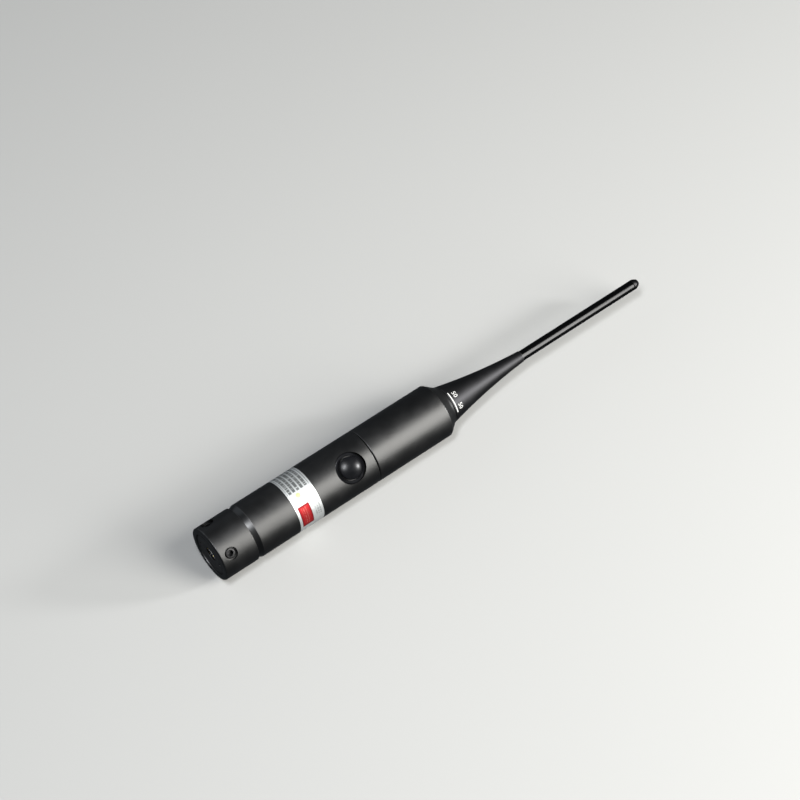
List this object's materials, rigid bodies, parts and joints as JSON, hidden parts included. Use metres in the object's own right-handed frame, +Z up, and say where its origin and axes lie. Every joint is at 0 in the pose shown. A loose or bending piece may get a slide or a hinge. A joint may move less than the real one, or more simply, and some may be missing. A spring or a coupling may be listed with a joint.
{
  "type": "laser boresighter",
  "caption": "Pocket laser collimator: black tube with push button, aiming screws and a screw-off battery section, on a calibre cone and mandrel rod.",
  "frame": {"origin": "bottom centre of the bounding box, under the middle of the length, on the surface the tube lies on", "axes": "+X along the tube's axis from the laser end to the mandrel's tip; +Z up; the push button is on the -Y side, 54 degrees up"},
  "size_m": [0.206, 0.022, 0.0222],
  "materials": {
    "black_anodised": "satin black anodised, fine bead blast",
    "black_bezel": "matt black",
    "clear_glass": "clear polished",
    "label_foil": "silver foil print",
    "blackened_steel": "black oxide",
    "o_ring_rubber": "matt black",
    "button_rubber": "smooth satin black",
    "module_brass": "turned",
    "spring_steel": "drawn wire",
    "nickel_can": "nickel plated",
    "board_green": "solder mask",
    "black_plastic": "moulded",
    "wire_red": "insulation",
    "wire_black": "insulation"
  },
  "bodies": {
    "front_section": {"front_housing": "black_anodised", "aperture_bezel": "black_bezel", "aperture_window": "clear_glass", "label_band": "label_foil", "lead_wire_red": "wire_red", "lead_wire_black": "wire_black", "button_ring": "button_rubber", "tact_switch": "black_plastic", "switch_board": "board_green", "contact_board": "board_green", "contact_retainer": "module_brass", "contact_spring": "spring_steel", "seam_o_ring": "o_ring_rubber"},
    "button": {"button_cap": "button_rubber", "switch_plunger": "black_plastic"},
    "screw_1": {"adjust_screw_1": "blackened_steel"},
    "screw_2": {"adjust_screw_2": "blackened_steel"},
    "screw_3": {"adjust_screw_3": "blackened_steel"},
    "screw_4": {"adjust_screw_4": "blackened_steel"},
    "pivot_ring": {"pivot_o_ring": "o_ring_rubber"},
    "laser_module": {"module_barrel": "module_brass", "lens_retainer": "black_bezel", "collimating_lens": "clear_glass", "lens_spring": "spring_steel", "laser_diode": "nickel_can", "diode_holder": "module_brass", "driver_board": "board_green"},
    "battery_stack": {"battery_sleeve": "black_plastic", "battery_cell_1": "nickel_can", "battery_cell_2": "nickel_can", "battery_cell_3": "nickel_can", "battery_spring": "spring_steel"},
    "rear_section": {"rear_housing": "black_anodised", "calibre_cone": "black_anodised", "mandrel_rod": "blackened_steel"},
    "arbor_screw_body": {"arbor_screw": "blackened_steel"}
  },
  "joints": [
    {"name": "button_press", "type": "slide", "parent": "front_section", "child": "button", "axis": [0, 0.5878, -0.809], "range_m": [0, 0.0007], "stiffness_N_per_m": 300, "springref_m": -0.002},
    {"name": "adjust_screw_1_turn", "type": "hinge", "parent": "front_section", "child": "screw_1", "pos_m": [-0.0986, 0, 0.011], "axis": [0, -0.7826, 0.6225], "range_deg": [-180, 180]},
    {"name": "adjust_screw_2_turn", "type": "hinge", "parent": "front_section", "child": "screw_2", "pos_m": [-0.0986, 0, 0.011], "axis": [0, 0.6225, 0.7826], "range_deg": [-180, 180]},
    {"name": "adjust_screw_3_turn", "type": "hinge", "parent": "front_section", "child": "screw_3", "pos_m": [-0.0986, 0, 0.011], "axis": [0, 0.7826, -0.6225], "range_deg": [-180, 180]},
    {"name": "adjust_screw_4_turn", "type": "hinge", "parent": "front_section", "child": "screw_4", "pos_m": [-0.0986, 0, 0.011], "axis": [0, -0.6225, -0.7826], "range_deg": [-180, 180]},
    {"name": "module_tilt_1", "type": "hinge", "parent": "front_section", "child": "pivot_ring", "pos_m": [-0.079, 0, 0.011], "axis": [0, 0.6225, 0.7826], "range_deg": [-1.1, 1.1]},
    {"name": "module_tilt_2", "type": "hinge", "parent": "pivot_ring", "child": "laser_module", "pos_m": [-0.079, 0, 0.011], "axis": [0, 0.7826, -0.6225], "range_deg": [-1.1, 1.1]},
    {"name": "rear_screw_travel", "type": "slide", "parent": "front_section", "child": "battery_stack", "axis": [1, 0, 0], "range_m": [0, 0.006]},
    {"name": "rear_section_turn", "type": "hinge", "parent": "battery_stack", "child": "rear_section", "pos_m": [-0.023, 0, 0.011], "axis": [1, 0, 0], "range_deg": [0, 1440]},
    {"name": "arbor_screw_turn", "type": "hinge", "parent": "rear_section", "child": "arbor_screw_body", "pos_m": [0.1, 0, 0.011], "axis": [1, 0, 0], "range_deg": [0, 360]}
  ],
  "couplings": [
    {"joint": "adjust_screw_3_turn", "follows": "adjust_screw_1_turn", "ratio": -1},
    {"joint": "adjust_screw_4_turn", "follows": "adjust_screw_2_turn", "ratio": -1},
    {"joint": "module_tilt_1", "follows": "adjust_screw_1_turn", "ratio": 0.0056841},
    {"joint": "module_tilt_2", "follows": "adjust_screw_2_turn", "ratio": 0.0056841},
    {"joint": "rear_screw_travel", "follows": "rear_section_turn", "m_per_rad": 0.00023873}
  ]
}
